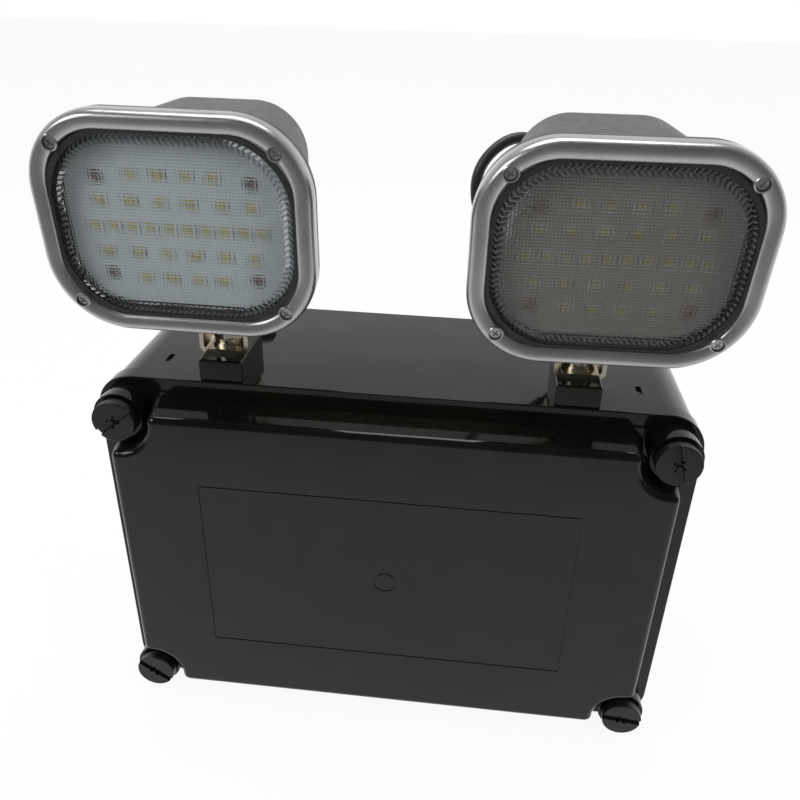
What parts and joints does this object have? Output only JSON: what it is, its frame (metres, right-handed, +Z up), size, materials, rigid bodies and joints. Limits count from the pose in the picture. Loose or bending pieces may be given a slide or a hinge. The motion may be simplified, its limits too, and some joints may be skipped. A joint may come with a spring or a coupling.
{
  "type": "emergency exit light",
  "caption": "Weatherproof black box with a screwed raised front cover, standing posts on top, and adjustable flood heads with silver rims and prismatic lenses on steel yokes",
  "frame": {"origin": "the centre of the rear face of the box, which goes against the wall", "axes": "+Z up, the front with the cover and the lit side of the heads faces -Y, +Y points into the wall, +X to the right as seen from the front"},
  "size_m": [0.28, 0.1398, 0.3118],
  "materials": {
    "box_plastic": "glossy moulded black plastic with light scuffs",
    "screw_plastic": "semi-gloss black plastic, worn at the slots",
    "rubber_seal": "soft black rubber",
    "plated_steel": "warm nickel plate over pressed steel",
    "head_plastic": "fine-grained dark grey plastic",
    "bezel_silver": "satin silver under a clear gloss coat",
    "lens_clear": "clear moulded plastic with fine prisms",
    "board_white": "white solder mask",
    "led_yellow": "yellow phosphor in a pale frame",
    "small_screw": "zinc plated steel with a warm tint",
    "aluminium_plate": "mill finish sheet",
    "lead_sheath": "black sheath, slightly satin",
    "gland_plastic": "moulded black plastic",
    "battery_wrap": "blue shrink sleeve",
    "board_green": "green solder mask with dark parts",
    "transformer_steel": "varnished laminations and winding",
    "terminal_grey": "pale grey moulded plastic"
  },
  "bodies": {
    "box": {"rear_box": "box_plastic", "front_cover": "box_plastic", "cover_gasket": "rubber_seal", "cover_screws": "screw_plastic", "cover_screw_seals": "rubber_seal", "battery_pack": "battery_wrap", "battery_clamps": "aluminium_plate", "control_board": "board_green", "control_board_screws": "small_screw", "transformer": "transformer_steel", "terminal_block": "terminal_grey", "head_lead_right": "lead_sheath", "post_left": "box_plastic", "swivel_bolt_left": "plated_steel", "swivel_washers_left": "plated_steel", "swivel_nut_left": "plated_steel", "box_gland_left": "gland_plastic", "post_right": "box_plastic", "swivel_bolt_right": "plated_steel", "swivel_washers_right": "plated_steel", "swivel_nut_right": "plated_steel", "box_gland_right": "gland_plastic"},
    "swivel_left": {"yoke_left": "plated_steel", "pivot_bolt_left": "plated_steel", "pivot_nut_left": "plated_steel"},
    "swivel_right": {"yoke_right": "plated_steel", "pivot_bolt_right": "plated_steel", "pivot_nut_right": "plated_steel"},
    "head_left": {"head_housing_left": "head_plastic", "bezel_left": "bezel_silver", "bezel_screws_left": "small_screw", "lens_left": "lens_clear", "lens_gasket_left": "rubber_seal", "heat_plate_left": "aluminium_plate", "led_board_left": "board_white", "leds_left": "led_yellow", "board_screws_left": "small_screw", "head_gland_left": "gland_plastic"},
    "head_right": {"head_housing_right": "head_plastic", "bezel_right": "bezel_silver", "bezel_screws_right": "small_screw", "lens_right": "lens_clear", "lens_gasket_right": "rubber_seal", "heat_plate_right": "aluminium_plate", "led_board_right": "board_white", "leds_right": "led_yellow", "board_screws_right": "small_screw", "head_gland_right": "gland_plastic"}
  },
  "joints": [
    {"name": "pan_left", "type": "hinge", "parent": "box", "child": "swivel_left", "pos_m": [-0.0796, -0.0793, 0.12435], "axis": [0, 0, 1], "range_deg": [-90, 25]},
    {"name": "tilt_left", "type": "hinge", "parent": "swivel_left", "child": "head_left", "pos_m": [-0.0796, -0.0793, 0.12435], "axis": [-0.9999, 0.0122, 0], "range_deg": [-30, 40]},
    {"name": "pan_right", "type": "hinge", "parent": "box", "child": "swivel_right", "pos_m": [0.082, -0.0793, 0.12435], "axis": [0, 0, 1], "range_deg": [-25, 90], "deforming": ["head_lead_right"]},
    {"name": "tilt_right", "type": "hinge", "parent": "swivel_right", "child": "head_right", "pos_m": [0.082, -0.0793, 0.12435], "axis": [-0.9995, -0.0314, 0], "range_deg": [-30, 40], "deforming": ["head_lead_right"]}
  ]
}
